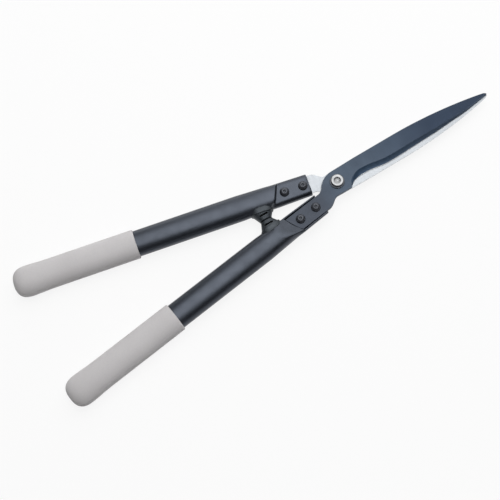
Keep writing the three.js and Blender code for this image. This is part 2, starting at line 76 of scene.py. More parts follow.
RIM_TOP = WEB_BOTTOM + CHANNEL_HIGH
OVAL, PRESSED = 2.2, 2.8  # powers of the tube's oval, at full width and right behind the step
GRIP_WALL = 1.9

MERGE = 1e-7  # points nearer than this are one point, in metres
CUT_REACH = 20  # how far a cutting body reaches up and down
HOLE_POINTS = 48


# Small tools for lines and bodies


def lerp(a, b, t):
    return a + (b - a) * t


def clamp(t):
    return min(max(t, 0.0), 1.0)


def smooth(t, start, end):
    t = clamp((t - start) / (end - start))
    return t * t * (3 - 2 * t)


def soft_min(a, b, radius):
    """The lower of two heights, rounded where they meet."""
    h = clamp(0.5 + 0.5 * (b - a) / radius)
    return lerp(b, a, h) - radius * h * (1 - h) / 2


def table(rows, at):
    """Reads a table of (position, value) pairs."""
    if at <= rows[0][0]:
        return rows[0][1]
    for (x0, v0), (x1, v1) in zip(rows, rows[1:]):
        if at <= x1:
            return lerp(v0, v1, (at - x0) / (x1 - x0))
    return rows[-1][1]


def between(p, q, t):
    return tuple(lerp(a, b, t) for a, b in zip(p, q))


def spline(points, steps):
    last = len(points) - 1
    line = []
    for i in range(last):
        near = [points[min(max(i + k, 0), last)] for k in (-1, 0, 1, 2)]
        for s in range(steps):
            t = s / steps
            line.append(tuple(
                0.5 * (2 * b + (c - a) * t + (2 * a - 5 * b + 4 * c - d) * t * t
                       + (3 * b - a - 3 * c + d) * t ** 3)
                for a, b, c, d in zip(*near)))
    return line + [tuple(points[-1])]


def bezier(points, steps):
    line = []
    for s in range(steps + 1):
        row = points
        while len(row) > 1:
            row = [between(p, q, s / steps) for p, q in zip(row, row[1:])]
        line.append(row[0])
    return line


def spaced(line, count):
    lengths = [0.0]
    for p, q in zip(line, line[1:]):
        lengths.append(lengths[-1] + math.dist(p, q))
    points = []
    i = 0
    for k in range(count + 1):
        at = lengths[-1] * k / count
        while i + 2 < len(line) and lengths[i + 1] < at:
            i += 1
        t = (at - lengths[i]) / (lengths[i + 1] - lengths[i])
        points.append(between(line[i], line[i + 1], t))
    return points


def inward(loop):
    """Normals that point into an anticlockwise loop, as long as its mitres but at most 2."""
    normals = []
    for i, p in enumerate(loop):
        before, after = Vector(loop[i - 1]), Vector(loop[(i + 1) % len(loop)])
        p = Vector(p)
        a, b = (p - before).normalized(), (after - p).normalized()
        n = (Vector((-a.y, a.x)) + Vector((-b.y, b.x))).normalized()
        normals.append(n / max(n.dot(Vector((-b.y, b.x))), 0.5))
    return normals


def on_oval(value, power):
    """What a cosine or sine becomes on an oval of this power. 2 is an ellipse."""
    return math.copysign(abs(value) ** (2 / power), value)


def oval(half_w, half_h, power, count):
    ring = []
    for k in range(count):
        turn = math.tau * k / count
        ring.append((half_w * on_oval(math.cos(turn), power), half_h * on_oval(math.sin(turn), power)))
    return ring


def arc(x, y, radius, start, end, steps):
    """Points round a rounded corner about (x, y), with angles in degrees."""
    points = []
    for k in range(steps + 1):
        turn = math.radians(lerp(start, end, k / steps))
        points.append((x + radius * math.cos(turn), y + radius * math.sin(turn)))
    return points


def skin(rings, first_cap=True, last_cap=True):
    """Points and faces of a body through rings with as many points each."""
    count = len(rings[0])
    points = [p for ring in rings for p in ring]
    faces = []
    for r in range(len(rings) - 1):
        for k in range(count):
            a, b = r * count + k, r * count + (k + 1) % count
            faces.append((a, b, b + count, a + count))
    if first_cap:
        faces.append(tuple(range(count))[::-1])
    if last_cap:
        faces.append(tuple(range((len(rings) - 1) * count, len(rings) * count)))
    return points, faces


def half_matrix(back):
    """Where one half's own frame lies: the back half is turned over."""
    place = Matrix.Translation((0, 0, MIDDLE * MM))
    return place @ Matrix.Rotation(math.pi, 4, "X") if back else place


def arm_matrix(back):
    """The frame of a handle: +X rearward, +Y outward, blade side up in its own half."""
    angle = UPPER_ANGLE if back else LOWER_ANGLE
    offset = HANDLE_OFFSET * MM
    place = Matrix.Translation((math.sin(angle) * offset, -math.cos(angle) * offset, 0))
    return half_matrix(back) @ place @ Matrix.Rotation(math.pi + angle, 4, "Z")


def add_object(name, data):
    obj = bpy.data.objects.new(name, data)
    bpy.context.scene.collection.objects.link(obj)
    return obj


def add_mesh(name, points, faces, sharp=30, slots=None):
    """A smooth-shaded mesh object from millimetres. A piece is named after its CAD node."""
    name += "_made"
    mesh = bpy.data.meshes.new(name)
    mesh.from_pydata([[c * MM for c in p] for p in points], [], faces)
    if slots:
        mesh.polygons.foreach_set("material_index", slots)
    work = bmesh.new()
    work.from_mesh(mesh)
    bmesh.ops.remove_doubles(work, verts=work.verts, dist=MERGE)
    bmesh.ops.recalc_face_normals(work, faces=work.faces)
    work.to_mesh(mesh)
    work.free()
    obj = add_object(name, mesh)
    shade(obj, sharp)
    return obj


def shade(obj, sharp):
    """Smooth shading with creases where faces meet above the angle."""
    obj.data.polygons.foreach_set("use_smooth", [True] * len(obj.data.polygons))
    obj.data.set_sharp_from_angle(angle=math.radians(sharp))
    obj.data.update()


def apply_modifiers(obj):
    bpy.context.view_layer.update()
    made = obj.evaluated_get(bpy.context.evaluated_depsgraph_get())
    mesh = bpy.data.meshes.new_from_object(made)
    obj.modifiers.clear()
    obj.data = mesh


def cut_out(obj, plan):
    """Cuts an upright opening with this plan."""
    cutter = add_mesh("cutter", *skin([[(*p, z) for p in plan] for z in (-CUT_REACH, CUT_REACH)]))
    boolean = obj.modifiers.new("cut", "BOOLEAN")
    boolean.object = cutter
    boolean.operation = "DIFFERENCE"
    boolean.solver = "EXACT"
    apply_modifiers(obj)
    bpy.data.objects.remove(cutter)


def drill(obj, radius, spots, sharp):
    """Round holes along Z through a body, at (x, y) spots."""
    for x, y in spots:
        cut_out(obj, [(x + px, y + py) for px, py in oval(radius, radius, 2, HOLE_POINTS)])
    shade(obj, sharp)


def soften(obj, width, segments, angle, sharp):
    """Rounds the edges above the angle."""
    bevel = obj.modifiers.new("soften", "BEVEL")
    bevel.width = width * MM
    bevel.segments = segments
    bevel.limit_method = "ANGLE"
    bevel.angle_limit = math.radians(angle)
    apply_modifiers(obj)
    shade(obj, sharp)


def place_piece(obj, matrix, back, slot, nodes, *materials):
    """Puts a finished piece where its CAD nodes are and gives it to their body."""
    body = "back_half" if back else "front_half"
    for material in materials:
        obj.data.materials.append(material)
    obj.data.transform(matrix)
    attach(obj, body)
    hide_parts(*nodes)


# Materials


WEAR = (1 - 0.25 / 12, 1 - 0.25)  # cosines of the turn where an edge starts to wear and is worn


class Nodes:
    """Builds one material's node tree. Sizes and radii are in millimetres."""

    def __init__(self, name, colour, roughness, metallic=0.0, **sockets):
        self.material = bpy.data.materials.new(name)
        self.material.use_nodes = True
        self.tree = self.material.node_tree
        self.shader = self.tree.nodes["Principled BSDF"]
        values = {"Base Color": (*colour, 1), "Roughness": roughness, "Metallic": metallic, **sockets}
        for key, value in values.items():
            self.shader.inputs[key.replace("_", " ")].default_value = value
        self.material.diffuse_color = (*colour, 1)

    def add(self, kind, inputs=None, **settings):
        """A new node, whose inputs get a number, a colour or a link from another node."""
        node = self.tree.nodes.new(kind)
        for key, value in settings.items():
            setattr(node, key, value)
        for key, value in (inputs or {}).items():
            if isinstance(value, (int, float)):
                node.inputs[key].default_value = value
            elif isinstance(value, tuple):
                node.inputs[key].default_value = (*value, 1)
            else:
                self.link(value, node.inputs[key])
        return node

    def link(self, a, b):
        self.tree.links.new(a, b)

    def coordinates(self, stretch=(1, 1, 1)):
        """The piece's own coordinates in millimetres, with a stretch along each axis."""
        source = self.add("ShaderNodeTexCoord").outputs["Object"]
        scale = self.add("ShaderNodeMapping", {"Vector": source})
        scale.inputs["Scale"].default_value = [s / MM for s in stretch]
        return scale.outputs["Vector"]

    def noise(self, size, detail, stretch=(1, 1, 1)):
        inputs = {"Scale": 1 / size, "Detail": detail, "Vector": self.coordinates(stretch)}
        return self.add("ShaderNodeTexNoise", inputs).outputs["Fac"]

    def span(self, value, low, high, to_low=0.0, to_high=1.0):
        """Spreads the range from low to high over to_low to to_high, and holds it there."""
        inputs = {"Value": value, "From Min": low, "From Max": high, "To Min": to_low, "To Max": to_high}
        return self.add("ShaderNodeMapRange", inputs).outputs["Result"]

    def patches(self, size, detail, low=0.3, high=0.7):
        """Noise whose middle tones are spread from 0 to 1."""
        return self.span(self.noise(size, detail), low, high)

    def maths(self, kind, a, b):
        return self.add("ShaderNodeMath", {0: a, 1: b}, operation=kind).outputs["Value"]

    def blend(self, a, b, share):
        """Two tones added up, the first with its share."""
        return self.maths("ADD", self.maths("MULTIPLY", a, share), self.maths("MULTIPLY", b, 1 - share))

    def mix(self, factor, a, b):
        """Colour a where the factor is 0 and colour b where it is 1."""
        inputs = {"Factor": factor, "A": a, "B": b}
        return self.add("ShaderNodeMix", inputs, data_type="RGBA").outputs["Result"]

    def tinted(self, base, tone, low, high):
        """The base colour times a grey or colour that runs with the tone."""
        inputs = {"Factor": 1, "A": base, "B": self.mix(tone, low, high)}
        node = self.add("ShaderNodeMix", inputs, data_type="RGBA", blend_type="MULTIPLY")
        return node.outputs["Result"]

    def edges(self, radius):
        """1 along worn edges, broken up by noise, and 0 on the faces."""
        rounded = self.add("ShaderNodeBevel", {"Radius": radius * MM}, samples=6).outputs["Normal"]
        plain = self.add("ShaderNodeNewGeometry").outputs["Normal"]
        dot = self.add("ShaderNodeVectorMath", {0: rounded, 1: plain}, operation="DOT_PRODUCT")
        turn = self.span(dot.outputs["Value"], *WEAR)
        return self.maths("MULTIPLY", turn, self.patches(3.5, 4, 0.35, 0.6))

    def colour(self, value):
        self.link(value, self.shader.inputs["Base Color"])

    def worn_colour(self, base, radius, amount, bare):
        """The base colour, which turns by an amount to the bare one along worn edges."""
        self.colour(self.mix(self.maths("MULTIPLY", self.edges(radius), amount), base, bare))

    def rough(self, noise, low, high):
        """Roughness that runs from low to high with the noise."""
        self.link(self.span(noise, 0.3, 0.7, low, high), self.shader.inputs["Roughness"])

    def bump(self, height, distance, strength=0.5):
        inputs = {"Distance": distance * MM, "Strength": strength, "Height": height}
        normal = self.add("ShaderNodeBump", inputs).outputs["Normal"]
        self.link(normal, self.shader.inputs["Normal"])


def satin_paint():
    """Powder coat: dark, faintly mottled, with a fine orange peel and rubbed edges."""
    n = Nodes("satin_paint", (0.006, 0.007, 0.009), 0.36, Specular_IOR_Level=0.92,
              Specular_Tint=(0.74, 0.83, 1.0, 1))
    base = n.mix(n.patches(38, 4, 0.35, 0.65), (0.0045, 0.0052, 0.007), (0.0075, 0.0085, 0.011))
    n.worn_colour(base, 0.5, 0.5, (0.09, 0.093, 0.1))
    n.rough(n.noise(9, 3), 0.33, 0.42)
    peel = n.maths("ADD", n.noise(1.1, 2), n.maths("MULTIPLY", n.noise(0.35, 1), 0.4))
    n.bump(peel, 0.02)
    return n.material


def along_blade(n):
    """Shares that grow from the tang to the heel and from the heel to the tip."""
    source = n.add("ShaderNodeTexCoord").outputs["Object"]
    along = n.add("ShaderNodeSeparateXYZ", {"Vector": source}).outputs["X"]
    return n.span(along, -35 * MM, 0.0), n.span(along, 25 * MM, 125 * MM)


def blade_coat():
    """Thin blue-grey coating over ground steel, whose lines show through, with painted shade towards the
    tip.
    """
    n = Nodes("blade_coat", (0.03, 0.045, 0.07), 0.38, 0.5, Specular_IOR_Level=0.4)
    heel, tip = along_blade(n)
    base = n.mix(heel, (0.036, 0.044, 0.060), (0.041, 0.060, 0.088))
    # darker towards the tip: painted shade standing in for the lamps' falloff along the blade
    base = n.mix(tip, base, (0.012, 0.025, 0.050))
    lines = n.noise(1.2, 3, (1, 0.06, 0.06))
    tone = n.blend(n.patches(45, 3, 0.35, 0.65), lines, 0.6)
    coat = n.tinted(base, tone, (0.8, 0.82, 0.84), (1.2, 1.18, 1.16))
    n.worn_colour(coat, 0.4, 0.7, (0.30, 0.32, 0.35))
    n.rough(n.noise(14, 4), 0.34, 0.44)
    n.bump(lines, 0.012)
    return n.material


def band_coat():
    """The hollow-ground band: the same coating over finer lines."""
    n = Nodes("band_coat", (0.06, 0.095, 0.15), 0.34, 0.5, Specular_IOR_Level=0.4)
    tip = along_blade(n)[1]
    lines = n.noise(0.9, 3, (1, 0.1, 0.1))
    base = n.mix(tip, (0.045, 0.080, 0.135), (0.068, 0.098, 0.148))
    coat = n.tinted(base, lines, (0.85, 0.85, 0.87), (1.15, 1.15, 1.13))
    n.worn_colour(coat, 0.3, 0.5, (0.34, 0.36, 0.39))
    n.rough(lines, 0.3, 0.42)
    n.bump(lines, 0.01)
    return n.material


def ground_steel():
    """Bright ground face: fine cross lines and a slight bloom."""
    n = Nodes("ground_steel", (0.48, 0.50, 0.52), 0.4, 0.5)
    lines = n.noise(0.7, 4, (1, 0.05, 0.05))
    tone = n.blend(n.patches(30, 3), lines, 0.5)
    base = n.mix(tone, (0.392, 0.415, 0.442), (0.468, 0.490, 0.514))
    n.worn_colour(base, 0.4, 0.6, (0.66, 0.67, 0.68))
    n.rough(lines, 0.34, 0.46)
    n.bump(lines, 0.01)
    return n.material


def honed_steel():
    """The cutting edge's bevel and the bright blade's sides: fine lines, dull nicks."""
    n = Nodes("honed_steel", (0.75, 0.77, 0.79), 0.22, 0.9)
    lines = n.noise(0.4, 3, (1, 0.1, 0.1))
    nicks = n.patches(2.2, 4, 0.58, 0.66)
    base = n.mix(lines, (0.71, 0.73, 0.75), (0.79, 0.81, 0.83))
    n.colour(n.mix(n.maths("MULTIPLY", nicks, 0.5), base, (0.40, 0.42, 0.45)))
    n.rough(lines, 0.16, 0.3)
    n.bump(lines, 0.006)
    return n.material


def grip_skin():
    """Soft matt sleeve: light warm grey with a fine leathery grain."""
    n = Nodes("grip_skin", (0.59, 0.575, 0.58), 0.62, Specular_IOR_Level=0.35)
    tone = n.blend(n.patches(32, 4), n.patches(1.6, 3), 0.6)
    base = n.mix(tone, (0.56, 0.543, 0.548), (0.62, 0.603, 0.608))
    n.worn_colour(base, 0.6, 0.5, (0.42, 0.405, 0.40))
    n.rough(n.noise(6, 3), 0.56, 0.68)
    inputs = {"Scale": 1 / 0.9, "Vector": n.coordinates()}
    cells = n.add("ShaderNodeTexVoronoi", inputs, feature="SMOOTH_F1")
    n.bump(n.maths("ADD", cells.outputs["Distance"], n.noise(0.5, 2)), 0.03)
    return n.material


def moulded_rubber():
    """Black rubber with a slight bloom, paler where it is rubbed."""
    n = Nodes("moulded_rubber", (0.011, 0.0125, 0.015), 0.5, Specular_IOR_Level=0.8,
              Specular_Tint=(0.80, 0.9, 1.0, 1))
    base = n.mix(n.patches(7, 4), (0.008, 0.0095, 0.0115), (0.014, 0.016, 0.019))
    n.worn_colour(base, 0.5, 0.5, (0.07, 0.074, 0.078))
    n.rough(n.noise(3, 3), 0.44, 0.55)
    n.bump(n.noise(0.4, 3), 0.02)
    return n.material


def slot_shade_rubber():
    """The same rubber inside a slot: dull, and darker as painted shade in the recess."""
    n = Nodes("slot_shade_rubber", (0.005, 0.0055, 0.0065), 0.8, Specular_IOR_Level=0.15)
    n.colour(n.mix(n.noise(1.5, 3), (0.003, 0.0035, 0.004), (0.007, 0.0075, 0.009)))
    n.rough(n.noise(2, 3), 0.75, 0.88)
    n.bump(n.noise(0.4, 3), 0.02)
    return n.material


def black_oxide():
    """Blackened steel of screws, nuts and washers."""
    n = Nodes("black_oxide", (0.02, 0.021, 0.026), 0.38, 0.15, Specular_IOR_Level=0.95,
              Specular_Tint=(0.82, 0.88, 1.0, 1))
    base = n.mix(n.patches(2.4, 4), (0.014, 0.015, 0.019), (0.026, 0.0275, 0.033))
    n.worn_colour(base, 0.3, 0.25, (0.17, 0.172, 0.18))
    n.rough(n.noise(1.2, 3), 0.33, 0.43)
    n.bump(n.noise(0.3, 2), 0.01)
    return n.material


def bright_zinc():
    """Turned and plated bolt: bright, with faint rings from turning."""
    n = Nodes("bright_zinc", (0.27, 0.275, 0.28), 0.3, 1.0)
    inputs = {"Scale": 0.8, "Distortion": 0.6, "Vector": n.coordinates()}
    rings = n.add("ShaderNodeTexWave", inputs, wave_type="RINGS", rings_direction="Z")
    base = n.mix(n.patches(3, 3), (0.24, 0.245, 0.25), (0.31, 0.313, 0.316))
    n.worn_colour(base, 0.3, 0.5, (0.48, 0.48, 0.48))
    n.rough(n.noise(1.5, 3), 0.24, 0.36)
    n.bump(rings.outputs["Fac"], 0.008, 0.4)
    return n.material


PAINT = satin_paint()
COAT = blade_coat()
BAND = band_coat()
STEEL = ground_steel()
HONED = honed_steel()
GRIP = grip_skin()
RUBBER = moulded_rubber()
SLOT_SHADE = slot_shade_rubber()
OXIDE = black_oxide()
ZINC = bright_zinc()


# Blades

BLADE_LENGTH, BLADE_HALF = 200, 14.3  # from the pivot to the tip, and half the width
THIN_FROM, TIP_THICK = 70, 2.2  # the blade thins from this station to its tip
LAND = 0.7  # thickness at the cutting edge, without its bevel
GRIND = 6.4  # the hollow-ground band's greatest width
HOLLOW = 0.3  # how far the band sags below a straight slope
BEVEL_HEIGHT, BEVEL_SHARE = 0.3, 0.06  # where the honed bevel starts, and its share of the band
CORNER = 0.35  # rounding of the blade's outer corners
CHAMFER = 0.12  # at its inner corners
TANG_RUN = 3.6  # how far ahead of the channel the tang still has its full width

# The cutting edge and the spine up to the tip, in shares of the blade's length and half width
EDGE = [
    (0.0525, -1), (0.066, -0.8), (0.09, -0.58), (0.122, -0.49), (0.16, -0.475), (0.21, -0.53),
    (0.285, -0.695), (0.36, -0.715), (0.45, -0.655), (0.54, -0.605), (0.63, -0.56), (0.73, -0.455),
    (0.83, -0.37), (0.925, -0.19), (0.985, -0.065),
]
SPINE = [
    (0.42, 1), (0.5, 0.985), (0.58, 0.93), (0.66, 0.85), (0.75, 0.72), (0.85, 0.53),
    (0.94, 0.315), (0.985, 0.185),
]
FULL_WIDTH = (0.15, 1)  # where the spine has reached its full width

# Bezier points of the head round the pivot, in shares of the blade's half width
SHOULDER = [(0.05, 0.955), (-0.36, 0.955), (-0.78, 0.8), (-1.2, 0.385)]
THROAT = [SHOULDER[-1], (-1.35, 0.185)]
HEEL = [(-0.93, -1), (-0.56, -1)]

# The ground band's width along the edge, as shares of its greatest width
GRIND_SHARES = [(0, 0.04), (0.05, 0.6), (0.1, 1), (0.3, 0.92), (0.55, 0.75), (0.8, 0.5), (1, 0.22)]

EDGE_CURVE, SPINE_CURVE = 24, 16  # steps between two of the points above
EDGE_STEPS, SPINE_STEPS, NOSE_STEPS = 150, 56, 10
HEAD_STEPS, THROAT_STEPS, TANG_STEPS = 26, 20, 10
SIDE_STEPS = 8  # steps of the blade's side above its chamfer
BEVEL_ROW = 2  # the honed bevel, counted from the inner face
COAT_SLOT, STEEL_SLOT, HONED_SLOT, BAND_SLOT = range(4)
BLADE_SHARP = 16  # degrees above which two faces meet in a crease


def in_plan(shares, along=BLADE_LENGTH):
    """Places in the blade's plan, from shares of a length and of the blade's half width."""
    return [(x * along, y * BLADE_HALF) for x, y in shares]


def from_handle(angle, station, outward):
    """A place in the blade's plan, given along and out of the handle's middle line."""
    across = HANDLE_OFFSET + outward
    return (-math.cos(angle) * station + math.sin(angle) * across,
            -math.sin(angle) * station - math.cos(angle) * across)


def step_at(outward):
    """The station of the slanted step."""
    return STEP_X - outward / CHANNEL_W[1] * STEP_SLANT


def step_bow(share):
    return STEP_BOW * (1 - share * share)


def thickness(x):
    return lerp(THICK, TIP_THICK, clamp((x - THIN_FROM) / (BLADE_LENGTH - THIN_FROM)))


def tang_end(angle, half):
    points = []
    for k in range(TANG_STEPS + 1):
        t = k / TANG_STEPS
        share = lerp(-1, 1, t) * half * 2 / CHANNEL_W[1]
        side = lerp(CHANNEL_SHIFT - half, CHANNEL_SHIFT + half, t)
        station = step_at(side) - SEAT_GAP - SLIDE_GAP + step_bow(share)
        points.append(from_handle(angle, station, side))
    return points


def head_and_tang(angle):
    """The plan over the shoulder, round the tang and to the heel."""
    half = CHANNEL_W[0] / 2 - RIM - SLIDE_GAP
    inner, outer = CHANNEL_SHIFT - half, CHANNEL_SHIFT + half
    front = CHANNEL_X - TANG_RUN
    pull = front - 2 * TANG_RUN
    shoulder, heel = in_plan(SHOULDER, BLADE_HALF), in_plan(HEEL, BLADE_HALF)
    throat = in_plan(THROAT, BLADE_HALF)
    throat += [from_handle(angle, pull + TANG_RUN / 2, inner), from_handle(angle, front, inner)]
    heel = [from_handle(angle, front, outer), from_handle(angle, pull, outer)] + heel
    line = bezier(shoulder, HEAD_STEPS) + bezier(throat, THROAT_STEPS)[1:]
    return line + tang_end(angle, half) + bezier(heel, HEAD_STEPS)


def blade_outline(angle):
    """The plan of a blade and its tang, as (x, y, share along the edge or None, ground share)."""
    edge = spaced(spline(in_plan(EDGE), EDGE_CURVE), EDGE_STEPS)
    spine = spaced(spline(in_plan(SPINE), SPINE_CURVE), SPINE_STEPS)[::-1]
    beyond_tip = (2 * BLADE_LENGTH - spine[0][0], 0)
    nose = bezier([edge[-1], beyond_tip, spine[0]], NOSE_STEPS)[1:-1]
    rows = [(*p, k / EDGE_STEPS, 1.0) for k, p in enumerate(edge)]
    rows += [(*p, 1.0, 1 - (k + 1) / NOSE_STEPS) for k, p in enumerate(nose)]
    plain = spine + in_plan([FULL_WIDTH]) + head_and_tang(angle)
    return rows + [(*p, None, 0.0) for p in plain]


def band_point(x, share, k):
    """The bevel's foot for k = 0, then points up the hollow-ground band."""
    if k == 0:
        return (0, BEVEL_HEIGHT)
    width = GRIND * table(GRIND_SHARES, share)
    rise = THICK - LAND
    sag = HOLLOW / rise
    top = (thickness(x) - LAND) / rise
    slope = 1 - 4 * sag
    # At a share u of its width the band has risen by the share slope * u + 4 * sag * u * u
    end = (math.sqrt(slope ** 2 + 16 * sag * top) - slope) / (8 * sag)
    u = max(BEVEL_SHARE, (k - 1) / (SIDE_STEPS - 1)) * end
    return (width * u, LAND + rise * (u - 4 * sag * u * (1 - u)))


def blade_profile(x, share, ground):
    """Steps from the inner face over the side to the outer face, as (distance in, height)."""
    rows = [(CHAMFER, 0), (0, CHAMFER)]
    for k in range(SIDE_STEPS + 1):
        turn = k / SIDE_STEPS * math.pi / 2
        wall = (CORNER * (1 - math.cos(turn)), thickness(x) - CORNER * (1 - math.sin(turn)))
        rows.append(between(wall, band_point(x, share, k), ground) if ground else wall)
    return rows


def blade_rings(outline):
    loop = [(x, y) for x, y, _, _ in outline]
    normals = inward(loop)
    profiles = [blade_profile(x, share, ground) for x, _, share, ground in outline]
    last = len(profiles[0]) - 1
    rings = []
    for r in range(last + 1):
        ring = []
        for point, normal, profile in zip(loop, normals, profiles):
            into, height = profile[r]
            at = Vector(point) + normal * into
            if r == last:
                height = thickness(at.x)
            ring.append((at.x, at.y, INNER + height))
        rings.append(ring)
    return rings


def outer_faces(rings):
    """The outer face in two, which meet about where the blade starts to thin."""
    count = len(rings[-1])
    away = [abs(x - THIN_FROM) for x, _, _ in rings[-1]]
    edge = range(EDGE_STEPS + 1)
    spine = [k for k in range(EDGE_STEPS + 1, count) if rings[-1][k][1] > 0]
    on_edge, on_spine = min(edge, key=away.__getitem__), min(spine, key=away.__getitem__)
    tip = range(on_edge, on_spine + 1)
    tang = [*range(on_spine, count), *range(on_edge + 1)]
    base = (len(rings) - 1) * count
    return [tuple(base + k for k in half) for half in (tip, tang)]


def side_slot(row, ground, back):
    if ground and row >= BEVEL_ROW:
        return HONED_SLOT if row == BEVEL_ROW else BAND_SLOT
    if back and not ground and row < BEVEL_ROW:
        return HONED_SLOT
    return COAT_SLOT


def build_blade(name, angle, back, slot):
    outline = blade_outline(angle)
    rings = blade_rings(outline)
    points, faces = skin(rings, last_cap=False)
    faces += outer_faces(rings)
    slots = []
    for row in range(len(rings) - 1):
        for k, here in enumerate(outline):
            after = outline[(k + 1) % len(outline)]
            slots.append(side_slot(row, here[3] == after[3] == 1, back))
    slots += [STEEL_SLOT, COAT_SLOT, COAT_SLOT]
    piece = add_mesh(name, points, faces, BLADE_SHARP, slots)
    drill(piece, PIVOT_HOLE, [(0, 0)], BLADE_SHARP)
    drill(piece, SCREW_HOLE, [from_handle(angle, station, 0) for station in SCREWS], BLADE_SHARP)
    place_piece(piece, half_matrix(back), back, slot, [name], COAT, STEEL, HONED, BAND)


# Handle tubes

# Rows of points round half of the channel's section: the web, its corner, the side, the rim
WEB_ROWS = 14
CORNER_ROW = WEB_ROWS + 6
RIM_ROW = WEB_ROWS + 9
FILLET_ROW = WEB_ROWS + 24
WEB_CORNER, FILLET = 5.0, 0.8  # radii outside and inside
SIDE_STOPS = (1 / 3, 2 / 3)  # shares of a side's height

# How the channel passes into the tube, with runs measured from the step
SIDE_RUN = (-1, 19)  # over which the sides pass
RISER_SOFT, FOOT_SOFT = 0.3, 0.4  # softening of the step on the web's side and on the rims'
FADE_SHARES = (0.25, 0.95)  # of the inward half, where the riser's run grows
CROWN_SOFT = 2.4
SLANT_IN = (CHANNEL_X + 3, STEP_X - 9)  # where the rings turn to the step's slant
SLANT_OUT = (STEP_X + 8, TUBE_X)  # and where they turn back
WEB_TURN_SHARE, FILLET_TURN_SHARE = 0.45, 0.75  # how far round the oval these rows lie
SETTLING = 3  # rounds in which a point's place and the slant there settle

# Stations of the tube's rings. Near the step they are (first, gap, count) behind it.
FRONT_STOPS = [33, 37, 42, 47, 52, 56, 60, 63, 65.5, 67, 68, 68.4]
STEP_STOPS = [(-0.3, 0.08, 8), (0.35, 0.13, 14), (2.3, 0.35, 24), (10.8, 0.8, 14)]
BEHIND_STEP = [22.5, 25, 28, 31, 35, 39, 43]
REAR_STOPS = [130, 170, 210, 228]
MOUTH = 0.3  # chamfer at the channel's front end
TUBE_SHORTER = 18  # how far inside the grip's closed end the tube ends
TUBE_SHARP = 60


def channel_half_width(x):
    return lerp(*CHANNEL_W, clamp((x - CHANNEL_X) / (STEP_X - CHANNEL_X))) / 2


def tube_half_width(x):
    return lerp(PRESSED_W, TUBE_W, clamp((x - STEP_X) / (TUBE_X - STEP_X))) / 2


def channel_half(half):
    """Half of the channel's section from the web's middle, out, over the rim and back inside."""
    rim = RIM / 2
    inside = half - RIM
    rows = [(lerp(0, half - WEB_CORNER, k / WEB_ROWS), WEB_BOTTOM) for k in range(WEB_ROWS)]
    rows += arc(half - WEB_CORNER, WEB_BOTTOM + WEB_CORNER, WEB_CORNER, -90, 0, 6)
    rows += [(half, lerp(WEB_BOTTOM + WEB_CORNER, RIM_TOP - rim, t)) for t in SIDE_STOPS]
    rows += arc(half - rim, RIM_TOP - rim, rim, 0, 180, 8)
    rows += [(inside, lerp(RIM_TOP - rim, WEB_TOP + FILLET, t)) for t in SIDE_STOPS]
    rows += arc(inside - FILLET, WEB_TOP + FILLET, FILLET, 0, -90, 4)
    rows += [(lerp(inside - FILLET, 0, k / WEB_ROWS), WEB_TOP) for k in range(1, WEB_ROWS + 1)]
    return rows


def oval_turn(z, power):
    """The angle at which the tube's oval has a height."""
    return math.copysign(math.asin(clamp((abs(z) / (TUBE_H / 2)) ** (power / 2))), z)


def oval_half(half, power, rows):
    """Points of the tube's half section that pair with the channel's rows."""
    down, up = -math.pi / 2, math.pi / 2
    low, top = oval_turn(rows[CORNER_ROW][1], power), oval_turn(rows[RIM_ROW][1], power)
    below = [(0, down), (WEB_ROWS, lerp(down, low, WEB_TURN_SHARE)), (CORNER_ROW, low)]
    above = [(RIM_ROW, top), (FILLET_ROW, lerp(top, up, FILLET_TURN_SHARE)), (len(rows) - 1, up)]
    points = []
    for i, (_, z) in enumerate(rows):
        if CORNER_ROW < i <= RIM_ROW:
            turn = oval_turn(z, power)
        else:
            turn = table(below if i <= CORNER_ROW else above, i)
        out, high = max(math.cos(turn), 0), math.sin(turn)
        points.append((half * on_oval(out, power), TUBE_H / 2 * on_oval(high, power)))
    return points


def step_blend(behind, row, share):
    """How far a point has passed from the channel's section to the tube's, from 0 to 1."""
    side = smooth(behind, *SIDE_RUN)
    if row < RIM_ROW:
        run = STEP_LEAN + STEP_FADE * smooth(-share, *FADE_SHARES)
        web = smooth(behind, -RISER_SOFT, run + RISER_SOFT)
        return lerp(web, side, smooth(row, WEB_ROWS, CORNER_ROW))
    bow = step_bow(share)
    foot = smooth(behind, bow - FOOT_SOFT, bow + FOOT_SOFT)
    return lerp(side, foot, smooth(row, RIM_ROW - 1, RIM_ROW + 5))


def tube_point(v, side, row):
    """One point of the ring at v. Near the step the rings are slanted as it is."""
    slant = smooth(v, *SLANT_IN) * (1 - smooth(v, *SLANT_OUT))
    behind = v - STEP_X
    x = v
    for _ in range(SETTLING):
        half = channel_half_width(x)
        channel = channel_half(half)
        power = lerp(PRESSED, OVAL, smooth(x, STEP_X, TUBE_X))
        tube = oval_half(tube_half_width(x), power, channel)
        across = side * channel[row][0]
        blend = step_blend(behind, row, across / half)
        y = lerp(across + CHANNEL_SHIFT, side * tube[row][0], blend)
        x = v - slant * y / CHANNEL_W[1] * STEP_SLANT
    height = tube[row][1]
    if row > RIM_ROW + 1:
        crown = RIM_TOP + max(behind, 0) * (TUBE_H / 2 - RIM_TOP) / CROWN_LENGTH
        height = soft_min(height, crown, CROWN_SOFT)
    return (x, y, lerp(channel[row][1], height, blend))


def tube_ring(v):
    """One ring of the handle's tube, round its outward side and back on the inward one."""
    last = len(channel_half(channel_half_width(v))) - 1
    outward = [tube_point(v, 1, row) for row in range(last + 1)]
    return outward + [tube_point(v, -1, row) for row in range(last - 1, 0, -1)]


def tube_stops():
    stops = [CHANNEL_X + MOUTH, *FRONT_STOPS]
    for first, gap, count in STEP_STOPS:
        stops += [STEP_X + first + gap * k for k in range(count)]
    stops += [STEP_X + behind for behind in BEHIND_STEP]
    return stops + [*REAR_STOPS, END_X - TUBE_SHORTER]


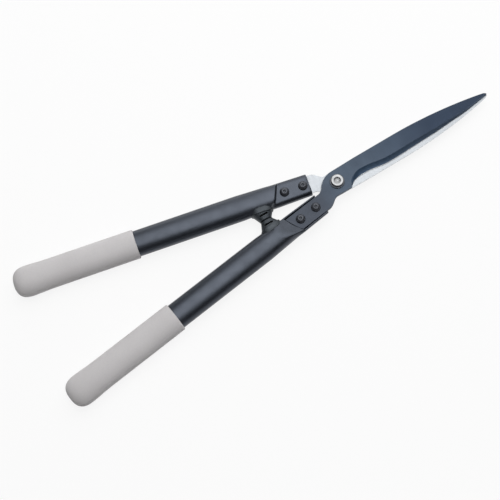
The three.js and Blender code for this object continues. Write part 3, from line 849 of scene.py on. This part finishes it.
def build_tube(name, back):
    rings = [tube_ring(v) for v in tube_stops()]
    mouth = [(y, z) for _, y, z in rings[0]]
    front = [(CHANNEL_X, y + n.x * MOUTH, z + n.y * MOUTH) for (y, z), n in zip(mouth, inward(mouth))]
    piece = add_mesh(name, *skin([front] + rings), TUBE_SHARP)
    drill(piece, SCREW_HOLE, [(station, 0) for station in SCREWS], TUBE_SHARP)
    place_piece(piece, arm_matrix(back), back, "tube_paint", [name], PAINT)


# Grips

GRIP_LIP = 1.3  # rounding at the sleeve's open end
GRIP_DOME = 18  # length of its closed end
DOME_X = END_X - GRIP_DOME
GRIP_SWELL, SWELL_RUN = (0.85, 0.4), 22  # added to half the width and height towards the dome
GRIP_PLAIN = GRIP_X + 4  # first full ring behind the lip
GRIP_SUNK = 0.3  # how far the open end's first ring lies inside the tube
DOME_POWER, DOME_TURN = 2.7, math.pi / 2 * 0.97  # the dome ends in a small flat
LIP_STEPS, SLEEVE_STEPS, DOME_STEPS, GRIP_POINTS = 7, 15, 22, 88
GRIP_SHARP = 50


def grip_ring(x, wider, higher, size=1.0):
    half, high = TUBE_W / 2 + GRIP_WALL + wider, TUBE_H / 2 + GRIP_WALL + higher
    return [(x, y, z) for y, z in oval(half * size, high * size, OVAL, GRIP_POINTS)]


def lip_rings():
    """The open end, from just inside the tube's surface out over the rounded lip."""
    rows = [(0.4, -GRIP_WALL - GRIP_SUNK), (0, -GRIP_WALL + 0.2), (0, -GRIP_LIP)]
    for k in range(1, LIP_STEPS + 1):
        turn = math.pi / 2 * k / LIP_STEPS
        rows.append((GRIP_LIP * (1 - math.cos(turn)), -GRIP_LIP * (1 - math.sin(turn))))
    return [grip_ring(GRIP_X + along, out, out) for along, out in rows]


def sleeve_rings():
    rings = []
    for k in range(SLEEVE_STEPS):
        x = lerp(GRIP_PLAIN, DOME_X, k / SLEEVE_STEPS)
        swell = smooth(x, DOME_X - SWELL_RUN, DOME_X)
        rings.append(grip_ring(x, *(swell * more for more in GRIP_SWELL)))
    return rings


def dome_rings():
    rings = []
    for k in range(DOME_STEPS + 1):
        turn = DOME_TURN * k / DOME_STEPS
        size = on_oval(math.cos(turn), DOME_POWER)
        along = on_oval(math.sin(turn) / math.sin(DOME_TURN), DOME_POWER)
        rings.append(grip_ring(DOME_X + GRIP_DOME * along, *GRIP_SWELL, size))
    return rings


def build_grip(name, back):
    piece = add_mesh(name, *skin(lip_rings() + sleeve_rings() + dome_rings()), GRIP_SHARP)
    place_piece(piece, arm_matrix(back), back, "grip_sleeve", [name], GRIP)


# Bumpers: a flange and a leaning stud with a slot through it

FLANGE_THICK = 1.2
FLANGE_OUT = tube_half_width(BUMPER_X) + FLANGE_THICK  # its face, from the handle's middle line
FLANGE_SIZE, STUD_SIZE = (25.6, 18), (15, 12)  # length and height
FLANGE_EDGE, STUD_EDGE = 0.6, 1.5  # rounding
FLANGE_SUNK = 6  # how far below the flange's face its body starts
FOOT_TRIM, FOOT_DEPTH = 2.6, 0.1  # how much smaller and higher the stud starts
# The studs' tips nearly touch when the shears are closed
STUD_LENGTH = (BUMPER_X * math.sin(CLOSED_ANGLE)
               - (FLANGE_OUT - HANDLE_OFFSET) * math.cos(CLOSED_ANGLE) - SEAT_GAP / 2)
SLOT_FROM_TIP = 5.7
SLOT_DEPTH = STUD_LENGTH - SLOT_FROM_TIP  # the slot's middle above the flange
SLOT_RADIUS, SLOT_CORE = 1.0, 4.2  # of its round ends, and from its middle to their centres
BUMPER_POWER, BUMPER_POINTS, SLOT_POINTS = 2.6, 72, 24
ROUND_STEPS, STUD_STEPS = 5, 12


def on_stud(tilt, depth, across):
    """A place in the handle's plan, out of the flange's face and along it, when tilted."""
    return (BUMPER_X - math.sin(tilt) * depth + math.cos(tilt) * across,
            -FLANGE_OUT - math.cos(tilt) * depth - math.sin(tilt) * across)


def stud_ring(tilt, depth, size, trim=0):
    length, height = size
    loop = oval((length - trim) / 2, (height - trim) / 2, BUMPER_POWER, BUMPER_POINTS)
    return [(*on_stud(tilt, depth, across), high) for across, high in loop]


def rounded_end(tilt, depth, size, edge):
    rings = []
    for k in range(1, ROUND_STEPS + 1):
        turn = math.pi / 2 * k / ROUND_STEPS
        trim = 2 * edge * (1 - math.cos(turn))
        rings.append(stud_ring(tilt, depth - edge + edge * math.sin(turn), size, trim))
    return rings


def bumper_rings():
    rings = [stud_ring(0, -FLANGE_SUNK, FLANGE_SIZE), stud_ring(0, -FLANGE_EDGE, FLANGE_SIZE)]
    rings += rounded_end(0, 0, FLANGE_SIZE, FLANGE_EDGE)
    foot = stud_ring(0, FOOT_DEPTH, FLANGE_SIZE, FOOT_TRIM)
    tip = stud_ring(CLOSED_ANGLE, STUD_LENGTH - STUD_EDGE, STUD_SIZE)
    for k in range(STUD_STEPS + 1):
        rings.append([between(p, q, k / STUD_STEPS) for p, q in zip(foot, tip)])
    return rings + rounded_end(CLOSED_ANGLE, STUD_LENGTH, STUD_SIZE, STUD_EDGE)


def slot_plan():
    plan = []
    for k in range(SLOT_POINTS):
        turn = math.tau * (k + 0.5) / SLOT_POINTS
        across = math.copysign(SLOT_CORE, math.cos(turn)) + SLOT_RADIUS * math.cos(turn)
        plan.append(on_stud(CLOSED_ANGLE, SLOT_DEPTH + SLOT_RADIUS * math.sin(turn), across))
    return plan


def in_slot(face):
    x, y = face.center.x / MM - BUMPER_X, face.center.y / MM + FLANGE_OUT
    depth = -math.sin(CLOSED_ANGLE) * x - math.cos(CLOSED_ANGLE) * y - SLOT_DEPTH
    across = math.cos(CLOSED_ANGLE) * x - math.sin(CLOSED_ANGLE) * y
    return math.hypot(depth, max(abs(across) - SLOT_CORE, 0)) < SLOT_RADIUS + 0.01


def build_bumper(name, back):
    piece = add_mesh(name, *skin(bumper_rings()))
    cut_out(piece, slot_plan())
    soften(piece, width=0.25, segments=3, angle=40, sharp=45)
    # the slot's own faces get the rubber that is darkened as painted shade
    for face in piece.data.polygons:
        face.material_index = 1 if in_slot(face) else 0
    place_piece(piece, arm_matrix(back), back, "bumper_rubber", [name], RUBBER, SLOT_SHADE)


# Screws, nuts and the pivot

ROUND = 72  # points round a turned piece
AXIS = 0.01  # radius of the small flat at a turned piece's axis
HEAD_R, HEAD_RISE, SOCKET = 5.25, 3.3, 4.0  # radius, height, socket across flats
SOCKET_DEPTH = 2.1
DOME_LOW, DOME_HIGH = math.radians(6), math.radians(66)  # the part of a circle that domes a head
ARC_STEPS = 8
SCREW_NUT, SCREW_NUT_HIGH, THREAD_END = 10, 4.4, 0.8  # across flats, height, thread past the nut
NUT_BORE_GAP = 0.05
COLLAR, COLLAR_ROUND = 1.0, 0.6  # the nut's collar above its flats, and its rounding
SOCKET_TURNS = {"front": 17, "rear": 41}  # degrees
PIVOT_HEAD, PIVOT_RISE, PIVOT_SOCKET = 7.0, 3.2, 6.0  # as for the screws
PIVOT_NUT, PIVOT_NUT_HIGH = 13, 4.2
PIVOT_TURN = 9  # degrees
BRIGHT_TOP, SOCKET_ZONE = 0.5, 3.6  # height and radius inside which the bolt's head is bright
WASHER_TOP, WASHER_BOTTOM, WASHER, WASHER_CORNER = 8.3, 8.0, 1.2, 0.25  # radii, thickness, corners
SPRING_R, SPRING_HIGH = 7.5, 1.4
PIECE_SHARP, BOLT_SHARP = 28, 26


def hexagon(flats, limit=math.inf):
    """A radius that follows a hexagon, with its corners turned off at the limit."""
    return lambda turn: min(flats / 2 / math.cos(turn % (math.pi / 3) - math.pi / 6), limit)


def turned(rows, bored=False):
    """A body round Z from (radius or hexagon, height) rows. A bored one has its rows in a loop."""
    rings = []
    for radius, height in rows + rows[:1] if bored else rows:
        ring = []
        for k in range(ROUND):
            turn = k / ROUND * math.tau
            r = radius(turn) if callable(radius) else radius
            ring.append((r * math.cos(turn), r * math.sin(turn), height))
        rings.append(ring)
    return skin(rings, not bored, not bored)


def screw_rows(length):
    """A button head with a hexagon socket over a plain shank, seat at 0."""
    rows = [(AXIS, -length), (SCREW_R - 0.55, -length), (SCREW_R, 0.5 - length), (SCREW_R, 0.02),
            (HEAD_R - 0.15, 0.0), (HEAD_R, 0.15)]
    for k in range(ARC_STEPS + 1):
        turn = lerp(DOME_LOW, DOME_HIGH, k / ARC_STEPS)
        t = (math.sin(turn) - math.sin(DOME_LOW)) / (math.sin(DOME_HIGH) - math.sin(DOME_LOW))
        rows.append((HEAD_R * math.cos(turn) / math.cos(DOME_LOW), lerp(0.66, HEAD_RISE - 0.05, t)))
    rows += [(rows[-1][0] - 0.18, HEAD_RISE), (2.55, HEAD_RISE), (2.42, HEAD_RISE - 0.02),
             (hexagon(SOCKET), HEAD_RISE - 0.3), (hexagon(SOCKET), HEAD_RISE - SOCKET_DEPTH),
             (AXIS, HEAD_RISE - 2.9)]
    return rows


def nut_rows(flats, height, bore):
    """A lock nut with chamfered corners and a rolled collar, seat at 0, growing downwards."""
    half = flats / 2
    body = height - COLLAR
    rows = [(bore, 0.0), (half - 0.2, 0.0), (hexagon(flats, half + 0.15), 0.12),
            (hexagon(flats, half + 0.45), 0.35), (hexagon(flats), 0.85), (hexagon(flats), body - 0.7),
            (hexagon(flats, half + 0.45), body - 0.2), (hexagon(flats, half + 0.1), body),
            (half - 0.45, body + 0.02)]
    rows += arc(half - 0.45 - COLLAR_ROUND, height - COLLAR_ROUND, COLLAR_ROUND, 0, 90, 5)
    rows += [(bore + 0.5, height), (bore + 0.1, height - 0.35), (bore, height - COLLAR_ROUND)]
    return [(radius, -depth) for radius, depth in rows]


def build_fasteners(prefix, back):
    """Two screws with nuts. The heads lie on the back half's web and on the front half's tang."""
    on_web, on_tang = WEB_BOTTOM - SEAT_GAP, OUTER + SEAT_GAP
    head_z, nut_z = (on_web, on_tang) if back else (on_tang, on_web)
    over = Matrix.Rotation(math.pi, 4, "X") if back else Matrix.Identity(4)
    screw = turned(screw_rows(OUTER - WEB_BOTTOM + 2 * SEAT_GAP + SCREW_NUT_HIGH + THREAD_END))
    nut = turned(nut_rows(SCREW_NUT, SCREW_NUT_HIGH, SCREW_R + NUT_BORE_GAP), bored=True)
    for station, where in zip(SCREWS, ("front", "rear")):
        for part, made, z, turn in (("screw", screw, head_z, SOCKET_TURNS[where]), ("nut", nut, nut_z, 0)):
            at = Matrix.Translation((station * MM, 0, z * MM))
            spin = Matrix.Rotation(math.radians(turn), 4, "Z")
            name = f"{prefix}_{where}_{part}"
            piece = add_mesh(name, *made, PIECE_SHARP)
            matrix = arm_matrix(back) @ at @ over @ spin
            place_piece(piece, matrix, back, "dark_fastener", [name], OXIDE)


def washer_rows(outer):
    """A flat washer with rounded corners, seat at 0."""
    corner = WASHER_CORNER
    left, right, high = PIVOT_HOLE + corner, outer - corner, WASHER - corner
    rows = arc(left, corner, corner, 180, 270, 3)
    rows += arc(right, corner, corner, 270, 360, 3)
    rows += arc(right, high, corner, 0, 90, 3)
    return rows + arc(left, high, corner, 90, 180, 3)


def spring_rows():
    """A coned ring, seat of its outer rim at 0."""
    bore, rim = PIVOT_HOLE, SPRING_R
    return [(rim, 0.1), (rim - 0.05, 0), (rim - 0.2, 0), (bore + 0.1, 0.58), (bore, 0.66),
            (bore, SPRING_HIGH - 0.1), (bore + 0.1, SPRING_HIGH), (bore + 0.2, SPRING_HIGH - 0.02),
            (rim - 0.1, 0.8), (rim, 0.7)]


def bolt_rows(seat):
    """From the bolt's flat lower end at 0 up to the socket in its head."""
    top = seat + PIVOT_RISE
    rows = [(AXIS, 0), (PIVOT_R - 0.5, 0), (PIVOT_R, 0.5), (PIVOT_R, seat)]
    rows += arc(PIVOT_HEAD - 0.2, seat + 0.2, 0.2, 270, 360, 3)
    rows += arc(PIVOT_HEAD - 0.9, top - 0.9, 0.9, 0, 90, ARC_STEPS)
    rows += [(4.0, top), (3.75, top - 0.12), (hexagon(PIVOT_SOCKET), top - 0.4),
             (hexagon(PIVOT_SOCKET), top - SOCKET_DEPTH), (AXIS, top - 3.2)]
    return rows


def build_bolt(seat):
    """The bolt, bright on top and in its socket and dark at the head's side."""
    bolt = add_mesh("pivot_bolt", *turned(bolt_rows(seat)), BOLT_SHARP)
    bright_from = seat + PIVOT_RISE - BRIGHT_TOP
    for face in bolt.data.polygons:
        height, radius = face.center.z / MM, face.center.xy.length / MM
        in_socket = radius < SOCKET_ZONE and height > seat
        face.material_index = 0 if height > bright_from or in_socket else 1
    spin = Matrix.Rotation(math.radians(PIVOT_TURN), 4, "Z")
    place_piece(bolt, spin, True, "bright_bolt", ["pivot_bolt"], ZINC, OXIDE)


def build_pivot():
    top = MIDDLE + OUTER + SEAT_GAP
    low = MIDDLE - OUTER - SEAT_GAP - WASHER
    spring = low - SEAT_GAP - SPRING_HIGH
    build_bolt(top + WASHER + SEAT_GAP)
    nut = nut_rows(PIVOT_NUT, PIVOT_NUT_HIGH, PIVOT_R + NUT_BORE_GAP)
    for name, z, rows, slot, material in (
        ("pivot_washer_top", top, washer_rows(WASHER_TOP), "dark_fastener", OXIDE),
        ("pivot_washer_bottom", low, washer_rows(WASHER_BOTTOM), "dark_fastener", OXIDE),
        ("pivot_disc_spring", spring, spring_rows(), "bright_bolt", ZINC),
        ("pivot_nut", spring - SEAT_GAP, nut, "dark_fastener", OXIDE),
    ):
        piece = add_mesh(name, *turned(rows, bored=True), PIECE_SHARP)
        place_piece(piece, Matrix.Translation((0, 0, z * MM)), True, slot, [name], material)


build_blade("front_blade", LOWER_ANGLE, False, "front_blade_coat")
build_blade("back_blade", UPPER_ANGLE, True, "back_blade_steel")
for side, turned_over in (("lower", False), ("upper", True)):
    build_tube(f"{side}_handle_tube", turned_over)
    build_grip(f"{side}_grip", turned_over)
    build_bumper(f"{side}_bumper", turned_over)
    build_fasteners(side, turned_over)
build_pivot()


# Floor, light and camera, in metres

FLOOR_CORE, FLOOR_R, BEND_R, WALL_HIGH = 0.01, 4, 2, 1.6
FLOOR_SIDES, BEND_STEPS = 64, 8
FLOOR_BELOW = 0.0005  # how far the floor lies under the shears
FLOOR_TONE = 0.9
FLOOR_GLOW = 0.87  # share of plain white in what is seen of the floor
WORLD_STRENGTH = 0.09
SHEARS_MIDDLE = Vector((-0.08, 0.01, 0.01))
CAMERA_AT = (-0.23931, -0.30334, 1.06225)
CAMERA_TOWARD = Vector((0.10661, 0.26276, -0.95895))
CAMERA_UP = Vector((0.50657, 0.81555, 0.27978))
CAMERA_LENS, CAMERA_SENSOR = 72, 36  # millimetres


def seen_rays(n):
    """1 where the camera, a reflection or a see-through surface looks at the background."""
    path = n.add("ShaderNodeLightPath").outputs
    seen = n.maths("MAXIMUM", path["Is Camera Ray"], path["Is Glossy Ray"])
    return n.maths("MAXIMUM", seen, path["Is Transmission Ray"])


def white_surface(name, tone, share):
    """A pale surface that the camera and reflections see as white, with the shadow kept."""
    n = Nodes(name, (tone, tone, tone), 0.9, Specular_IOR_Level=0.0)
    glow = n.add("ShaderNodeEmission").outputs["Emission"]
    seen = n.maths("MULTIPLY", seen_rays(n), share)
    both = n.add("ShaderNodeMixShader", {"Fac": seen, 1: n.shader.outputs["BSDF"], 2: glow})
    n.link(both.outputs["Shader"], n.tree.nodes["Material Output"].inputs["Surface"])
    return n.material


def floor_ring(radius, height):
    turns = [math.tau * k / FLOOR_SIDES for k in range(FLOOR_SIDES)]
    return [(radius * math.cos(t), radius * math.sin(t), height - FLOOR_BELOW) for t in turns]


def build_stage():
    """A white floor that rises into a low wall far away from the shears."""
    rings = [floor_ring(FLOOR_CORE, 0), floor_ring(FLOOR_R, 0)]
    for k in range(1, BEND_STEPS + 1):
        turn = math.pi / 2 * k / BEND_STEPS
        rings.append(floor_ring(FLOOR_R + BEND_R * math.sin(turn), WALL_HIGH * (1 - math.cos(turn))))
    points, faces = skin(rings, last_cap=False)
    mesh = bpy.data.meshes.new("floor")
    mesh.from_pydata(points, [], faces)
    floor = add_object("floor", mesh)
    floor.data.materials.append(white_surface("floor_white", FLOOR_TONE, FLOOR_GLOW))


def add_lamp(name, toward, distance, size, radiance):
    """A soft rectangular lamp in a direction from the shears' middle, facing it."""
    lamp = bpy.data.lights.new(name, "AREA")
    lamp.shape = "RECTANGLE"
    lamp.size, lamp.size_y = size
    lamp.energy = radiance * math.pi * size[0] * size[1]
    obj = add_object(name, lamp)
    direction = Vector(toward).normalized()
    obj.location = SHEARS_MIDDLE + direction * distance
    obj.rotation_mode = "QUATERNION"
    obj.rotation_quaternion = direction.to_track_quat("Z", "Y")


def build_light():
    world = bpy.data.worlds.new("studio")
    bpy.context.scene.world = world
    world.use_nodes = True
    soft = world.node_tree.nodes["Background"]
    soft.inputs["Color"].default_value = (1, 1, 1, 1)
    soft.inputs["Strength"].default_value = WORLD_STRENGTH
    add_lamp("softbox", (0.300, 0.270, 0.915), 1.6, (2.0, 2.4), 1.85)
    add_lamp("softbox_core", (0.066, 0.142, 0.988), 1.55, (0.9, 1.1), 1.3)
    add_lamp("side_panel", (0.50, 0.82, 0.24), 1.5, (2.2, 0.8), 0.95)


def build_camera():
    camera = bpy.data.cameras.new("camera")
    camera.lens = CAMERA_LENS
    camera.sensor_width = CAMERA_SENSOR
    camera.clip_start = 0.01
    camera.clip_end = 20
    obj = add_object("camera", camera)
    away = -CAMERA_TOWARD.normalized()
    right = CAMERA_UP.cross(away).normalized()
    up = away.cross(right)
    obj.rotation_mode = "QUATERNION"
    obj.rotation_quaternion = Matrix((right, up, away)).transposed().to_quaternion()
    obj.location = CAMERA_AT
    bpy.context.scene.camera = obj


build_stage()
build_light()
build_camera()
bpy.context.scene.view_settings.view_transform = "Standard"

bpy.context.view_layer.update()
